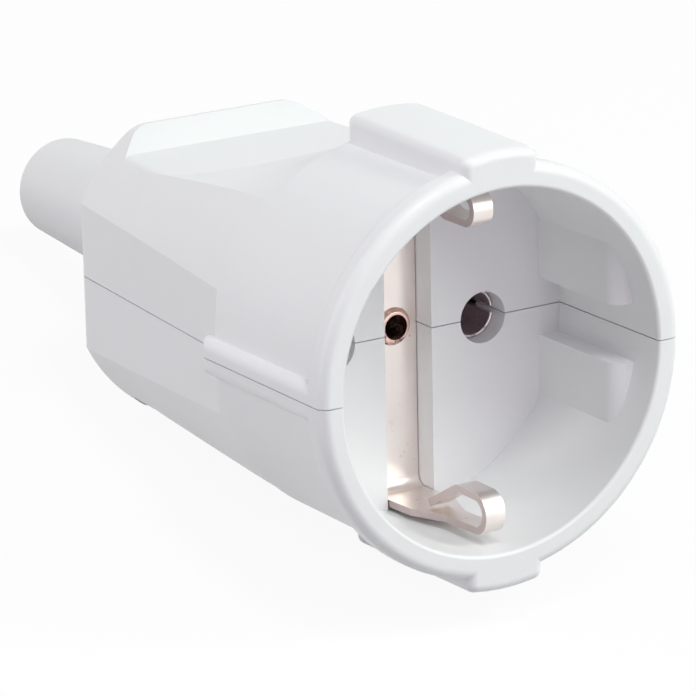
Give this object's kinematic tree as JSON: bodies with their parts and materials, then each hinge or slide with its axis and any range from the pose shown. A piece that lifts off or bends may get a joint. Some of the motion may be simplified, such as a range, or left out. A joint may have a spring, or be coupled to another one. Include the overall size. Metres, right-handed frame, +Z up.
{
  "type": "cord coupler",
  "caption": "White cord-end socket coupler with a round recess, side earth springs in a strap, waisted half shells with finger dips, and a tapered cord sleeve at the rear.",
  "frame": {"origin": "centre of the socket mouth, in the plane of its rim", "axes": "+X towards the open mouth, level; +Y to the right seen from the mouth; +Z up. The coupler lies on a table on its lower key and rear ridge, so its own axis points out of the mouth and 12.2 degrees up"},
  "size_m": [0.0975, 0.0444, 0.0509],
  "materials": {
    "shell_plastic": "satin white moulded plastic",
    "sleeve_plastic": "soft white moulded plastic",
    "nickel_strip": "nickel-plated spring strip",
    "rivet_copper": "bare copper",
    "terminal_brass": "bright brass",
    "spring_steel": "bright spring steel",
    "plated_steel": "zinc-plated steel"
  },
  "bodies": {
    "root": {"upper_shell": "shell_plastic", "lower_shell": "shell_plastic", "cord_sleeve": "sleeve_plastic", "earth_strap": "nickel_strip", "earth_rivet": "rivet_copper", "earth_terminal": "terminal_brass", "earth_terminal_washer": "plated_steel", "earth_terminal_screw": "plated_steel", "left_contact": "terminal_brass", "right_contact": "terminal_brass", "left_contact_spring": "spring_steel", "right_contact_spring": "spring_steel", "left_terminal_screw": "plated_steel", "right_terminal_screw": "plated_steel", "cord_clamp": "spring_steel", "left_clamp_screw": "plated_steel", "right_clamp_screw": "plated_steel", "left_housing_screw": "plated_steel", "right_housing_screw": "plated_steel", "left_housing_nut": "plated_steel", "right_housing_nut": "plated_steel"}
  },
  "joints": []
}
